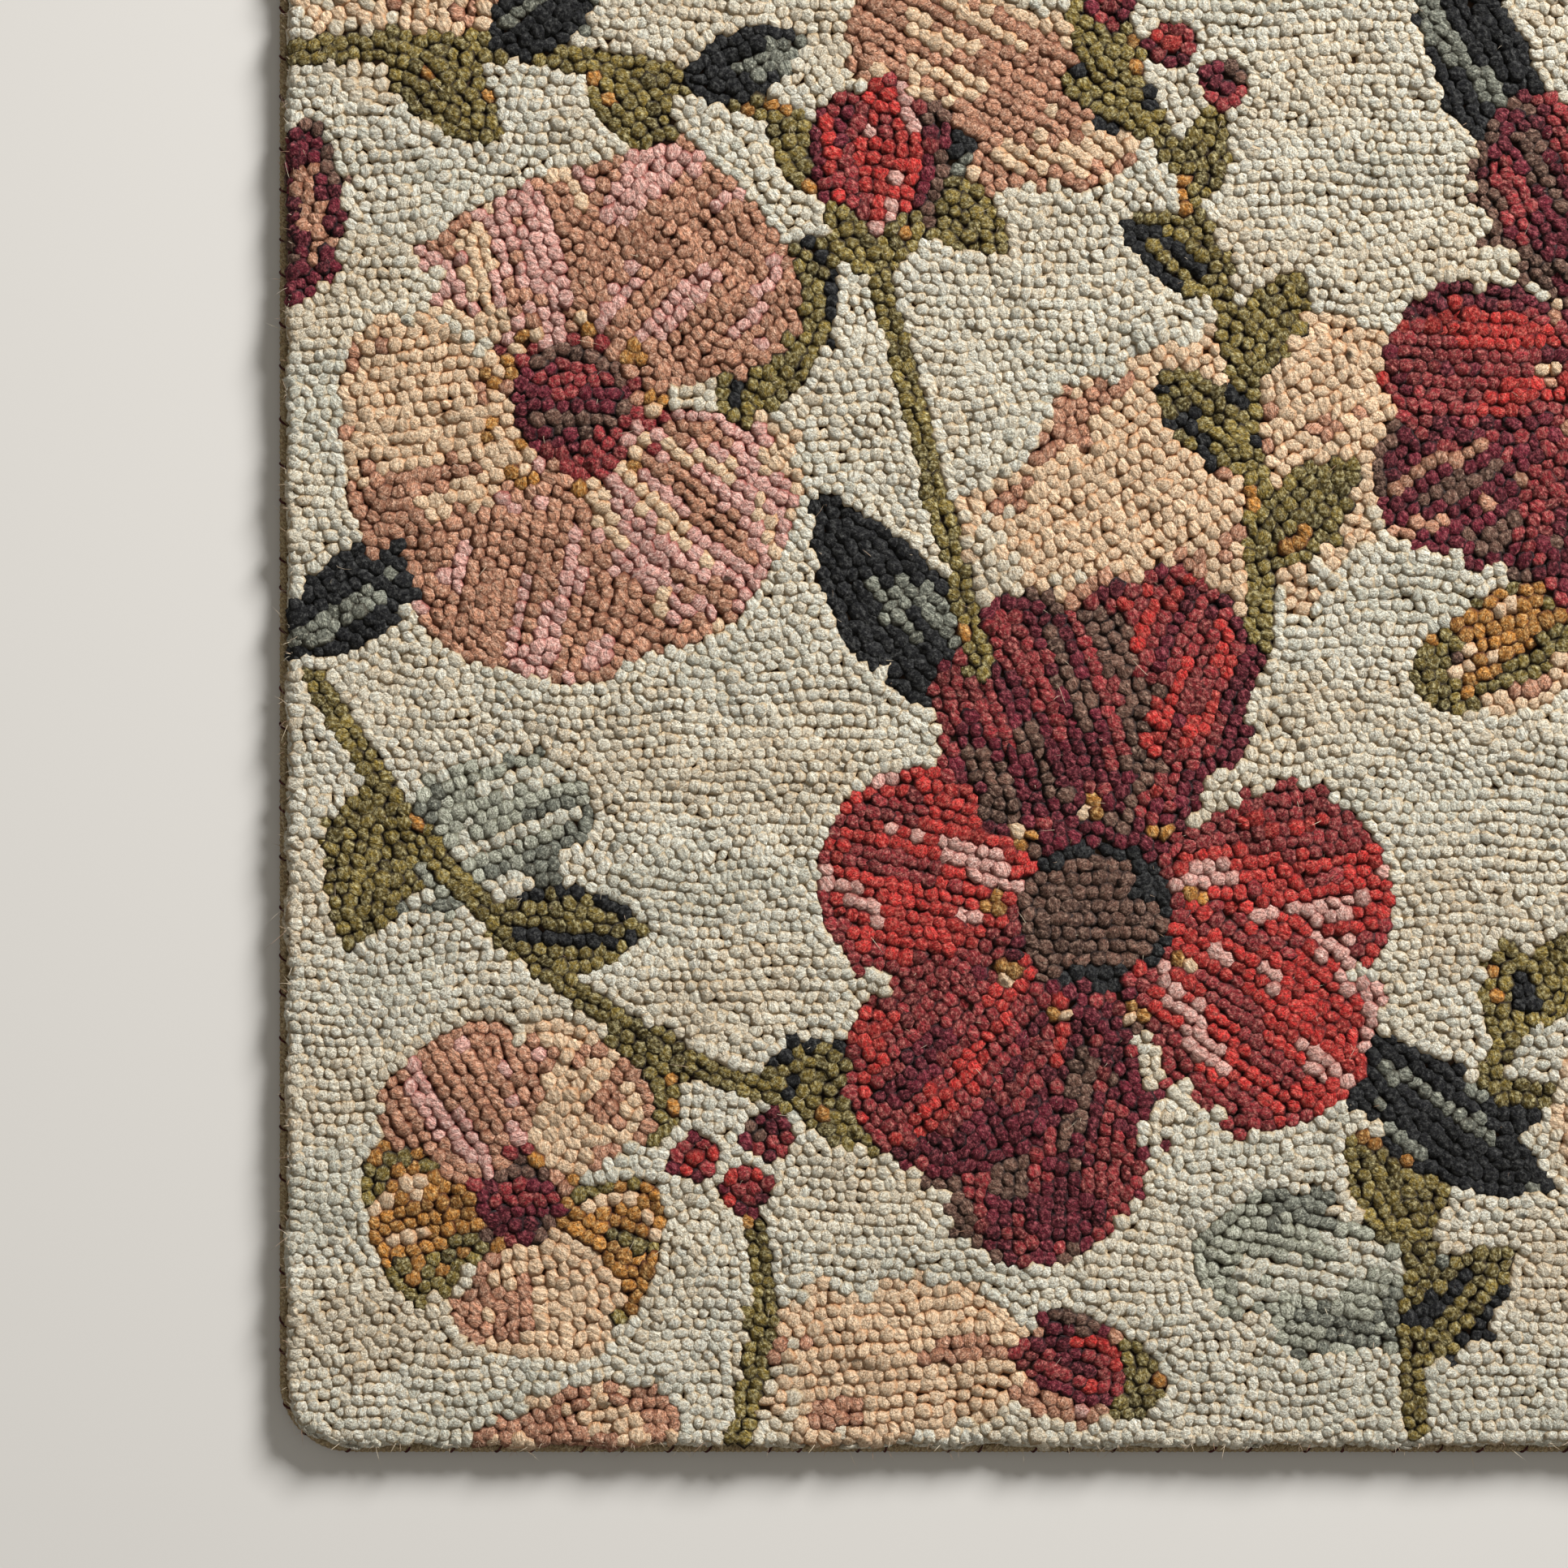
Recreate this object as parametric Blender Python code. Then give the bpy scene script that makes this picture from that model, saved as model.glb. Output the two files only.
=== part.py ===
"""A hooked wool accent rug that lies flat: a field of wool loops hooked through its canvas, and
a whipped cord that binds the edge, half hidden under the overhanging loops.

Metres, +Z up. The origin is on the floor under the middle of the rug, and +Y is its length.
"""

import math

import bmesh
import bpy
from mathutils import Vector

# Driving sizes
RUG_WIDTH = 0.686
RUG_LENGTH = 1.143
PILE_TOP = 0.0125
CORNER_RADIUS = 0.029
CORD_THICKNESS = 0.0048
CORD_SHOWS = 0.0018
TACK_PITCH = 0.018
FIT_GAP = 0.00035

# Hand-made unevenness: how far the edge draws in, and how far the pile dips.
# Both wave counts are even, so that opposite edges match and the rug stays centred.
EDGE_WAVER = 0.0012
EDGE_SLOW_WAVES = 14
EDGE_QUICK_WAVES = 38
PILE_DIP = 0.0008
DIP_LENGTH_X = 0.19
DIP_LENGTH_Y = 0.27
DIP_SLANT = 0.72

# The cord is pinched where a tacking stitch crosses it, and swells between two of them
CORD_SWELL = 1.05
CORD_PINCH = 0.86
CORD_SIDES = 6
CORNER_STEPS = 6

# Worked out from the sizes above. The cord lies on one of its flat sides.
CORD_FAT_RADIUS = CORD_SWELL * CORD_THICKNESS / 2
CORD_LIES_AT = CORD_FAT_RADIUS * math.cos(math.pi / CORD_SIDES)
CORD_INSET = CORD_FAT_RADIUS - CORD_SHOWS
CORE_INSET = CORD_INSET + CORD_FAT_RADIUS + FIT_GAP
OVERHANG = 2 * CORD_LIES_AT + FIT_GAP

# The edge in section, from the canvas under the cord to the top of the pile:
# how far in from the edge line, and how high
EDGE_SECTION = (
    (CORE_INSET, 0.0),
    (CORE_INSET, OVERHANG),
    (0.0011, OVERHANG),
    (0.0, OVERHANG + 0.0020),
    (0.0005, PILE_TOP - 0.0030),
    (0.0024, PILE_TOP - 0.0012),
    (0.0060, PILE_TOP - 0.0004),
)
# Rings over the top of the pile, as shares of the way out from the middle
PILE_RINGS = (0.97, 0.85, 0.68, 0.50, 0.32, 0.15)

WOOL_COLOUR = (0.46, 0.41, 0.33, 1.0)
CORD_COLOUR = (0.48, 0.42, 0.31, 1.0)


def clear_scene():
    for old in list(bpy.data.objects):
        bpy.data.objects.remove(old)


def fabric(name, colour, roughness):
    """A matt textile material of one colour."""
    material = bpy.data.materials.new(name)
    material.use_nodes = True
    shader = material.node_tree.nodes["Principled BSDF"]
    shader.inputs["Base Color"].default_value = colour
    shader.inputs["Roughness"].default_value = roughness
    shader.inputs["Metallic"].default_value = 0.0
    return material


def edge_stations():
    """Points once round the pile's edge line, anticlockwise, each with its outward direction.

    A straight side has a station at each tacking stitch, and a corner arc has CORNER_STEPS
    of them.
    """
    radius = CORNER_RADIUS - CORD_SHOWS
    reach_x = RUG_WIDTH / 2 - CORNER_RADIUS
    reach_y = RUG_LENGTH / 2 - CORNER_RADIUS
    centres = [Vector((reach_x, -reach_y)), Vector((reach_x, reach_y))]
    centres += [-centre for centre in centres]
    stations = []
    for turn, centre in enumerate(centres):
        angles = [math.radians(90 * (turn - 1 + step / CORNER_STEPS)) for step in range(CORNER_STEPS + 1)]
        arc = [Vector((math.cos(angle), math.sin(angle))) for angle in angles]
        stations += [(centre + radius * out, out) for out in arc]
        side_start = centre + radius * arc[-1]
        side_end = centres[(turn + 1) % 4] + radius * arc[-1]
        steps = round((side_end - side_start).length / TACK_PITCH)
        stations += [(side_start.lerp(side_end, i / steps), arc[-1]) for i in range(1, steps)]
    return [(point - out * draw_in(i / len(stations)), out) for i, (point, out) in enumerate(stations)]


def draw_in(way_round):
    """How far the edge lies inside its widest line: two waves that close once round the rug."""
    turn = 2 * math.pi * way_round
    waves = math.sin(EDGE_SLOW_WAVES * turn) + math.sin(EDGE_QUICK_WAVES * turn + 1)
    return EDGE_WAVER * (2 - waves) / 4


def pile_height(x, y):
    """The height of the pile's top at a point: its highest level less a shallow crossed wave."""
    along = math.sin(2 * math.pi * (x + DIP_SLANT * y) / DIP_LENGTH_X / 2)
    across = math.cos(2 * math.pi * (y - DIP_SLANT * x) / DIP_LENGTH_Y / 2)
    return PILE_TOP - PILE_DIP * (1 - along * across) / 2


def ring(mesh, stations, inset, height):
    """One closed row of vertices at that inset from the edge line."""
    row = []
    for point, out in stations:
        at = point - out * inset
        row.append(mesh.verts.new((at.x, at.y, height)))
    return row


def join_rings(mesh, lower, upper):
    """Quads between two closed rows of the same length."""
    for i in range(len(lower)):
        after = (i + 1) % len(lower)
        mesh.faces.new((lower[i], lower[after], upper[after], upper[i]))


def hooked_field(stations, collection, material):
    """The field as one solid: a flat underside, the edge section carried round the stations,
    and rings over the top that dip a little, as hand-hooked pile does."""
    mesh = bmesh.new()
    rows = [ring(mesh, stations, inset, height) for inset, height in EDGE_SECTION]
    mesh.faces.new(reversed(rows[0]))
    shoulder = rows[-1]
    for share in PILE_RINGS:
        places = [(vertex.co.x * share, vertex.co.y * share) for vertex in shoulder]
        rows.append([mesh.verts.new((x, y, pile_height(x, y))) for x, y in places])
    for lower, upper in zip(rows, rows[1:]):
        join_rings(mesh, lower, upper)
    middle = mesh.verts.new((0, 0, pile_height(0, 0)))
    inner = rows[-1]
    for i in range(len(inner)):
        mesh.faces.new((inner[i], inner[(i + 1) % len(inner)], middle))
    data = bpy.data.meshes.new("hooked_field")
    mesh.to_mesh(data)
    mesh.free()
    data.shade_smooth()
    data.set_sharp_from_angle(angle=math.radians(50))
    data.materials.append(material)
    field = bpy.data.objects.new("hooked_field", data)
    collection.objects.link(field)


def edge_binding(stations, collection, material):
    """The binding as a closed cord round the edge, pinched at each tack and fat between two."""
    line = [point - out * CORD_INSET for point, out in stations]
    places = []
    for number, place in enumerate(line):
        following = line[(number + 1) % len(line)]
        places += [(place, CORD_PINCH), (place.lerp(following, 0.5), CORD_SWELL)]
    curve = bpy.data.curves.new("edge_binding", "CURVE")
    curve.dimensions = "3D"
    curve.twist_mode = "Z_UP"
    curve.fill_mode = "FULL"
    curve.bevel_depth = CORD_THICKNESS / 2
    curve.bevel_resolution = (CORD_SIDES - 4) // 2
    spline = curve.splines.new("POLY")
    spline.points.add(len(places) - 1)
    for control, (place, swell) in zip(spline.points, places):
        control.co = (place.x, place.y, CORD_LIES_AT, 1)
        control.radius = swell
    spline.use_cyclic_u = True
    curve.materials.append(material)
    binding = bpy.data.objects.new("edge_binding", curve)
    collection.objects.link(binding)


def build():
    clear_scene()
    rug = bpy.data.collections.new("hooked_rug")
    bpy.context.scene.collection.children.link(rug)
    stations = edge_stations()
    hooked_field(stations, rug, fabric("looped_wool", WOOL_COLOUR, 0.95))
    edge_binding(stations, rug, fabric("binding_yarn", CORD_COLOUR, 0.9))


build()
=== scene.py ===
# %% [markdown]
# # A hooked wool rug, loop by loop
# A rug like this is hooked by hand. A canvas is stretched on a frame, and wool yarn is pulled up
# through it as small loops, one beside another, in rows. The loops are the pile: nothing is cut.
# The lesson builds those loops one by one with numpy, because from a step away a rug is judged by
# its loops, their rows and the dark gaps between them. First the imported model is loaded. It is the
# frame: it gives the sizes, and every new piece lies where its solids are.

# %% Load the frame
from collections import namedtuple

import bpy
import numpy as np
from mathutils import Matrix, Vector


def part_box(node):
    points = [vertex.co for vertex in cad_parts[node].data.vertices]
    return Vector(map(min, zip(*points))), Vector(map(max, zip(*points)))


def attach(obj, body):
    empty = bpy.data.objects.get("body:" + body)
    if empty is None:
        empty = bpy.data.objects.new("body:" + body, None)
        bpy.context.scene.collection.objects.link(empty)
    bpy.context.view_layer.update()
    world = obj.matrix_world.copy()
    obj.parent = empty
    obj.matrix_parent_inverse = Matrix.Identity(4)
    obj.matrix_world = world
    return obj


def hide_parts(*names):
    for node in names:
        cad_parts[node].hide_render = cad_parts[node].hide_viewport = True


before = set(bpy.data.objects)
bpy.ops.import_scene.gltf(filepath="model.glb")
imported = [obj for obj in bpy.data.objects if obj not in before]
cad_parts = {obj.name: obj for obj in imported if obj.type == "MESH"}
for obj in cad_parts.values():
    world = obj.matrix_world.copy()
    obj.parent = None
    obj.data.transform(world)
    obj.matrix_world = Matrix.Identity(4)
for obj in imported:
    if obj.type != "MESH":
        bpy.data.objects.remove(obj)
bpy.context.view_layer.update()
field_top = np.array(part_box("hooked_field")[1])
cord_top = np.array(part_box("edge_binding")[1])
half_field = field_top[:2]
half_rug = cord_top[:2]
pile_top = field_top[2]
print("rug", (2000 * half_rug).round(1), "mm, pile", round(1000 * pile_top, 1), "mm")

# %% [markdown]
# ## The hooker's measures
# A loop is about as wide as the yarn is thick when it is squeezed between its neighbours, and
# the rows lie as far apart as the loops in a row. The ground is hooked finer than the motifs,
# which use fuller yarns. The canvas is hooked flat, right up to its edge. Then the edge is rolled
# under, and the outermost loops lean outwards round the roll. So the loops are laid out on the
# flat canvas first, which is a little larger than the finished rug.

# %% Measures
ground_pitch, motif_pitch = 0.0046, 0.0053
corner_radius = 0.0272
canvas_thickness = 0.0016
rim_roll = 0.0060
rolled_over = 0.0086
half_flat = half_field - rim_roll + rolled_over
flat_radius = corner_radius - rim_roll + rolled_over
dice = np.random.default_rng(21)


def spokes(turns):
    """Unit steps from a middle, at some angles."""
    return np.stack([np.cos(turns), np.sin(turns)], -1)


def rounded(half, radius, steps):
    """Points round a rectangle with rounded corners: a circle whose quarters are moved apart."""
    arc = spokes(np.radians(np.linspace(0, 360, steps, endpoint=False)))
    return arc * radius + np.sign(np.round(arc, 9)) * (half - radius)


def inside_edge(places):
    """How far each place lies inside the edge of the flat canvas: r - |max(q, 0)| - min(max(q), 0),
    where q is how far the place is past a corner's centre and r is the corner's radius."""
    past = np.abs(places) - (half_flat - flat_radius)
    return flat_radius - np.hypot(*np.maximum(past, 0).T) - np.minimum(past.max(1), 0)


def outward(places):
    """The unit direction to the nearest edge: from the corner's centre near a corner, else straight."""
    past = np.abs(places) - (half_field - corner_radius)
    straight = np.eye(2)[past.argmax(1)]
    way = np.where((past > 0).all(1)[:, None], past, straight) * np.sign(places)
    return way / np.linalg.norm(way, axis=1, keepdims=True)


def ripple(places, length, seed, waves=7):
    """A value that wanders smoothly between about -1 and 1: a sum of sine waves of nearly that
    length, which run in random directions."""
    toss = np.random.default_rng(seed)
    turn = toss.uniform(0, 2 * np.pi, waves)
    count = toss.uniform(0.7, 1.5, waves) / length
    phase = toss.uniform(0, 2 * np.pi, waves)
    along = places @ np.stack([np.cos(turn), np.sin(turn)]) * count
    return np.sin(2 * np.pi * along + phase).sum(-1) / np.sqrt(waves)


print("canvas is hooked over", (2000 * half_flat).round(1), "mm before its edge is rolled")

# %% [markdown]
# ## Drawing with strokes
# The maker draws flowers and leaves on the canvas before hooking. One kind of mark can draw them
# all: a stroke with a curved spine and a width that swells and tapers. Its width follows
# t^foot (1 - t)^tip. Both powers at a half give an oval, small ones a stem, a blunt tip a petal,
# and a sharp tip a leaf.

# %% Strokes
Stroke = namedtuple("Stroke", "spine width foot tip yarns cover")


def curve(spine, t):
    """Points of (1-t)^2 start + 2t(1-t) lean + t^2 end. It also runs on past its ends."""
    t = np.asarray(t)[..., None]
    return (1 - t) ** 2 * spine[0] + 2 * t * (1 - t) * spine[1] + t**2 * spine[2]


def heading(spine, t):
    """The curve's unit direction, from its slope 2(1-t)(lean - start) + 2t(end - lean), and its speed."""
    t = np.asarray(t)[..., None]
    way = 2 * (1 - t) * (spine[1] - spine[0]) + 2 * t * (spine[2] - spine[1])
    speed = np.linalg.norm(way, axis=-1, keepdims=True)
    return way / speed, speed[..., 0]


def left_of(way):
    """The direction a quarter turn to the left."""
    return np.stack([-way[..., 1], way[..., 0]], -1)


def half_width(stroke, t):
    """t^foot (1-t)^tip, scaled so that its highest value is the stroke's own half width."""
    a, b = stroke.foot, stroke.tip
    peak = (a / (a + b)) ** a * (b / (a + b)) ** b
    t = np.clip(t, 0, 1)
    return stroke.width * t**a * (1 - t) ** b / peak


def across_stroke(stroke, places, steps=25):
    """Where places lie on a stroke: t from the nearest of a few points of the spine, corrected
    along its heading, and the signed distance to the left of it."""
    t = np.linspace(0, 1, steps)
    line = curve(stroke.spine, t)
    nearest = ((places[:, None] - line) ** 2).sum(-1).argmin(1)
    way, speed = heading(stroke.spine, t)
    off = places - line[nearest]
    along = (off * way[nearest]).sum(-1)
    side = (off * left_of(way[nearest])).sum(-1)
    return t[nearest] + along / speed[nearest], side


def at(place, reach, turn):
    """The point at a reach from a place, in a direction given in degrees."""
    return np.asarray(place) + reach * spokes(np.radians(turn))


# %% [markdown]
# ## Petals, leaves and whole flowers
# The design is an ordinary scattered floral of open blossoms, buds, berries and leaved stems.
# Each motif is a function that returns its strokes from the lowest to the topmost, so that a
# later petal covers an earlier one, as in a painting.

# %% Motifs
def petal(place, length, turn, width, yarns, bend=0.0, foot=0.85, tip=0.40, cover=1.0):
    """A stroke from a place in some direction, whose middle is bent aside by a share of its length."""
    start, end = np.asarray(place, float), at(place, length, turn)
    lean = at((start + end) / 2, bend * length, turn + 90)
    return Stroke(np.array([start, lean, end]), width, foot, tip, yarns, cover)


def leaf(place, length, turn, yarns, bend=0.12, share=0.27):
    """A stroke that is widest before its middle and sharp at its tip."""
    return petal(place, length, turn, share * length, yarns, bend, 0.75, 0.85)


def spot(place, radius, yarns, stretch=1.0, turn=0.0, cover=1.0):
    """A round stroke, or an oval one that is stretched in some direction."""
    reach = radius * stretch
    return petal(at(place, -reach, turn), 2 * reach, turn, radius, yarns, 0.0, 0.5, 0.5, cover)


def stem(start, lean, end, width=0.0058):
    return Stroke(np.array([start, lean, end], float), width, 0.08, 0.16, "olive", 1.0)


def blossom(place, radius, petals, turn, share, tip, yarns, heart, dots):
    """An open flower from above: petals that are turned, bent and sized a little unevenly round
    a heart, every second one lower, and a ring of stamens if their yarn is named."""
    made = [spot(place, 0.40 * radius, yarns[-1])]
    for k in sorted(range(petals), key=lambda k: k % 2 == 0):
        swing = np.sin(2.3 * k + turn)
        angle = turn + 360 * k / petals + 9 * swing
        length = radius * (0.92 + 0.12 * np.sin(1.7 * k + turn))
        foot = at(place, 0.08 * radius, angle)
        made.append(petal(foot, length, angle, share * radius, yarns[k % len(yarns)],
                          0.10 * swing, tip=tip))
    made.append(spot(place, 0.24 * radius, heart))
    if dots:
        made += [spot(at(place, 0.33 * radius, turn + 40 * k), 0.0046, dots) for k in range(9)]
    return made


def spray(start, lean, end, pairs, length, yarns):
    """A curving stem whose leaves leave it to the right and left by turns, with one at its end."""
    line = stem(start, lean, end)
    made = [line]
    for k, t in enumerate(np.linspace(0.16, 0.90, 2 * pairs)):
        way = heading(line.spine, t)[0]
        side = 1 if k % 2 else -1
        turn = np.degrees(np.arctan2(way[1], way[0])) + side * (46 - 14 * t)
        size = length * (1 - 0.35 * t) * (1 + 0.12 * np.sin(3 * k))
        made.append(leaf(curve(line.spine, t), size, turn, yarns[k % len(yarns)], -0.10 * side))
    way = heading(line.spine, 1.0)[0]
    last = np.degrees(np.arctan2(way[1], way[0]))
    return made + [leaf(curve(line.spine, 0.97), 0.8 * length, last, yarns[0], 0.05)]


def bud(place, length, turn, yarns):
    """A closed flower: two side petals, a third over them, and a green cup at its foot."""
    made = [petal(place, 0.92 * length, turn + s * 17, 0.24 * length, yarn, -0.1 * s, 0.7, 0.62)
            for s, yarn in zip((1, -1), yarns)]
    made.append(petal(place, length, turn, 0.20 * length, yarns[2], 0.0, 0.7, 0.60))
    foot = at(place, -0.05 * length, turn)
    return made + [leaf(foot, 0.45 * length, turn + s * 38, "olive", -0.1 * s, 0.24) for s in (-1, 1)]


# %% [markdown]
# ## The layout
# Tables place the motifs one by one, in metres from the middle of the rug. What lies lowest comes
# first: soft washes of colour in the ground, then leaved stems, dark leaves, open flowers, buds
# and berries.

# %% Layout
# place, radius, yarns, stretch, turn, cover
WASHES = (
    ((-0.262, -0.322), 0.030, "mist", 1.6, 20, 1.0),
    ((0.080, -0.500), 0.030, "mist", 1.9, -12, 1.0),
    ((0.020, -0.190), 0.060, "haze", 1.8, 35, 1.0),
    ((-0.100, -0.535), 0.034, "haze", 1.8, 5, 1.0),
    ((-0.225, -0.568), 0.024, "dusk", 1.9, 14, 1.0),
    ((-0.055, -0.020), 0.038, "dusk", 1.7, -30, 1.0),
    ((0.280, -0.280), 0.050, "dusk", 1.7, 70, 1.0),
    ((-0.290, 0.050), 0.045, "haze", 1.8, 80, 1.0),
    ((-0.050, 0.120), 0.035, "mist", 2.2, 15, 1.0),
    ((0.270, 0.160), 0.050, "haze", 1.6, 60, 1.0),
    ((0.020, 0.370), 0.045, "dusk", 1.9, -20, 1.0),
    ((-0.280, 0.420), 0.040, "mist", 1.7, 70, 0.70),
    ((0.080, 0.530), 0.035, "haze", 2.4, 8, 1.0),
)
# start, lean, end, pairs of leaves, leaf length, yarns
SPRAYS = (
    ((-0.330, -0.255), (-0.250, -0.400), (-0.130, -0.430), 2, 0.075, ("olive", "moss")),
    ((0.115, -0.565), (0.100, -0.470), (0.160, -0.395), 2, 0.066, ("moss", "olive")),
    ((-0.345, -0.010), (-0.200, 0.010), (-0.085, -0.065), 3, 0.064, ("olive", "night")),
    ((0.050, -0.260), (0.060, -0.120), (0.000, -0.020), 3, 0.062, ("olive", "moss")),
    ((0.340, -0.200), (0.260, -0.020), (0.300, 0.090), 3, 0.068, ("moss", "olive")),
    ((-0.060, 0.140), (-0.010, 0.250), (0.090, 0.290), 2, 0.066, ("olive", "moss")),
    ((-0.340, 0.360), (-0.250, 0.370), (-0.200, 0.430), 1, 0.070, ("moss", "olive")),
    ((0.040, 0.570), (0.050, 0.480), (0.000, 0.420), 2, 0.062, ("olive", "night")),
    ((0.340, 0.520), (0.270, 0.540), (0.200, 0.530), 1, 0.070, ("night", "olive")),
)
# place, length, turn, yarns, bend, share of width
LEAVES = (
    ((-0.055, -0.275), 0.115, 128, "night", 0.10, 0.20),
    ((0.085, -0.400), 0.105, -38, "night", -0.12, 0.20),
    ((-0.160, -0.160), 0.090, 62, "moss", 0.10, 0.24),
    ((-0.280, -0.200), 0.085, 215, "night", 0.10, 0.22),
    ((-0.337, -0.112), 0.078, 84, "plum", 0.08, 0.27),
    ((0.160, -0.060), 0.100, 118, "night", -0.10, 0.20),
    ((0.270, -0.140), 0.090, -30, "moss", 0.10, 0.24),
    ((-0.220, 0.200), 0.100, 200, "night", 0.10, 0.20),
    ((-0.100, 0.330), 0.100, 50, "moss", -0.10, 0.24),
    ((0.140, 0.360), 0.100, 150, "night", 0.10, 0.20),
    ((0.270, 0.420), 0.090, 20, "moss", 0.10, 0.24),
    ((0.145, 0.100), 0.085, -60, "night", 0.10, 0.20),
)
# place, radius, petals, turn, petal's share of width, tip, yarns, heart, stamens
BLOSSOMS = (
    ((-0.015, -0.355), 0.128, 7, 12, 0.34, 0.52, ("coral", "scarlet", "wine"), "heart", "pollen"),
    ((-0.225, -0.150), 0.100, 5, 40, 0.50, 0.38, ("rose", "blush", "peach"), "wine", "pollen"),
    ((0.205, -0.130), 0.118, 8, -8, 0.30, 0.55, ("wine", "scarlet", "plum"), "heart", "peach"),
    ((0.235, -0.445), 0.078, 5, 20, 0.50, 0.38, ("gold", "peach", "sand"), "plum", None),
    ((-0.245, -0.470), 0.068, 5, -20, 0.50, 0.38, ("gold", "peach", "rose"), "wine", None),
    ((-0.150, 0.245), 0.126, 7, 25, 0.34, 0.52, ("scarlet", "coral", "wine"), "heart", "pollen"),
    ((0.115, 0.110), 0.082, 5, 10, 0.50, 0.38, ("gold", "peach", "sand"), "wine", None),
    ((0.190, 0.395), 0.112, 6, 35, 0.44, 0.40, ("rose", "wine", "blush"), "plum", "pollen"),
    ((-0.185, 0.490), 0.074, 5, 0, 0.48, 0.40, ("coral", "scarlet", "blush"), "gold", None),
)
STEMS = (
    ((-0.060, -0.262), (-0.082, -0.170), (-0.105, -0.085)),
    ((-0.160, -0.570), (-0.140, -0.510), (-0.155, -0.465)),
)
# place, length, turn, yarns
BUDS = (
    ((-0.105, -0.095), 0.078, 84, ("scarlet", "wine", "coral")),
    ((0.115, -0.262), 0.070, 20, ("gold", "peach", "gold")),
    ((0.010, -0.545), 0.062, 165, ("rose", "plum", "scarlet")),
    ((-0.300, 0.130), 0.075, 70, ("wine", "plum", "scarlet")),
    ((0.030, 0.200), 0.070, 100, ("rose", "coral", "blush")),
    ((0.300, 0.260), 0.075, 110, ("coral", "scarlet", "blush")),
    ((-0.060, 0.460), 0.075, 80, ("gold", "peach", "gold")),
)
# place, yarns
BERRIES = (
    ((-0.155, -0.465), "scarlet"), ((-0.176, -0.452), "scarlet"), ((-0.146, -0.443), "wine"),
    ((0.015, -0.005), "scarlet"), ((0.037, -0.022), "wine"), ((-0.008, 0.012), "scarlet"),
    ((0.285, 0.095), "scarlet"), ((0.262, 0.104), "wine"),
    ((0.080, 0.305), "scarlet"), ((0.062, 0.288), "wine"),
)
berry_radius = 0.0105

strokes = [spot(*wash) for wash in WASHES]
for row in SPRAYS:
    strokes += spray(*row)
strokes += [leaf(*row) for row in LEAVES]
for row in BLOSSOMS:
    strokes += blossom(*row)
strokes += [stem(*row, 0.0050) for row in STEMS]
for row in BUDS:
    strokes += bud(*row)
strokes += [spot(place, berry_radius, yarns) for place, yarns in BERRIES]
print(len(strokes), "strokes in the design")


# %% [markdown]
# ## Whose ground is it?
# Every loop asks which stroke lies topmost over it. The edges are a little ragged, because a
# hooked edge can only turn from one loop to the next, and a wash lets the ground show through.

# %% Claim
def claim(places):
    """The topmost stroke over each place, or -1, with t along it and the share of the way across,
    -1 to 1. Half widths are raised or lowered by a ripple, and a wash takes a place by luck."""
    owner = np.full(len(places), -1)
    along, across = np.zeros(len(places)), np.zeros(len(places))
    ragged = ripple(places, 0.022, 5)
    blotted = ripple(places, 0.045, 6)
    luck = np.random.default_rng(8).random(len(places))
    for number, stroke in enumerate(strokes):
        low = stroke.spine.min(0) - 1.4 * stroke.width
        high = stroke.spine.max(0) + 1.4 * stroke.width
        close = np.flatnonzero(((places > low) & (places < high)).all(1))
        t, side = across_stroke(stroke, places[close])
        wash = number < len(WASHES)
        reach = half_width(stroke, t) * (1 + 0.10 * ragged[close] + 0.12 * wash * blotted[close])
        on = (np.abs(side) < reach) & (t > 0) & (t < 1)
        if stroke.cover < 1:
            on &= luck[close] < stroke.cover * (1.15 - 0.6 * np.abs(side) / np.maximum(reach, 1e-6))
        hit = close[on]
        owner[hit], along[hit], across[hit] = number, t[on], side[on] / reach[on]
    return owner, along, across


# %% [markdown]
# ## Rows of loops
# A hooker first outlines a motif just inside its line, fills it with rows that run along it, and
# then works one row of ground round it. The rest of the ground is straight rows, and one row
# follows the rim. All of these are offered as places here, and the next step picks among them.

# %% Rows
def running(line):
    """The running length up to each point of a line."""
    return np.concatenate([[0], np.cumsum(np.linalg.norm(np.diff(line, axis=0), axis=1))])


def read_along(line, run, spots, step, closed=False):
    """Places on a line at some running lengths, and its unit direction there, from one small step
    ahead and one back. On a closed line the steps may cross its start."""
    reads = [s % run[-1] if closed else s for s in (spots, spots + step, spots - step)]
    here, ahead, back = (np.stack([np.interp(s, run, line[:, i]) for i in (0, 1)], 1) for s in reads)
    way = ahead - back
    return here, way / np.maximum(np.linalg.norm(way, axis=1, keepdims=True), 1e-9)


def paced(line, pitch):
    """Places one pitch apart along a line, from where luck starts them."""
    run = running(line)
    count = max(int(run[-1] / pitch), 2)
    spots = (np.arange(count) + dice.random()) * run[-1] / count
    return read_along(line, run, spots, 0.001)


def outline(stroke, grow):
    """Places round a stroke: its left side out and its right side back, on a spine and a width
    that both grow by the same amount."""
    more = grow / heading(stroke.spine, np.array([0.0, 1.0]))[1]
    t = np.linspace(0, 1, 160)
    run = t * (1 + more.sum()) - more[0]
    way = heading(stroke.spine, run)[0]
    wider = stroke._replace(width=max(stroke.width + grow, 0.0008))
    wide = half_width(wider, t)[:, None] * left_of(way)
    line = curve(stroke.spine, run)
    pitch = motif_pitch if grow < 0 else ground_pitch
    return paced(np.concatenate([line + wide, (line - wide)[::-1]]), pitch)


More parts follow.
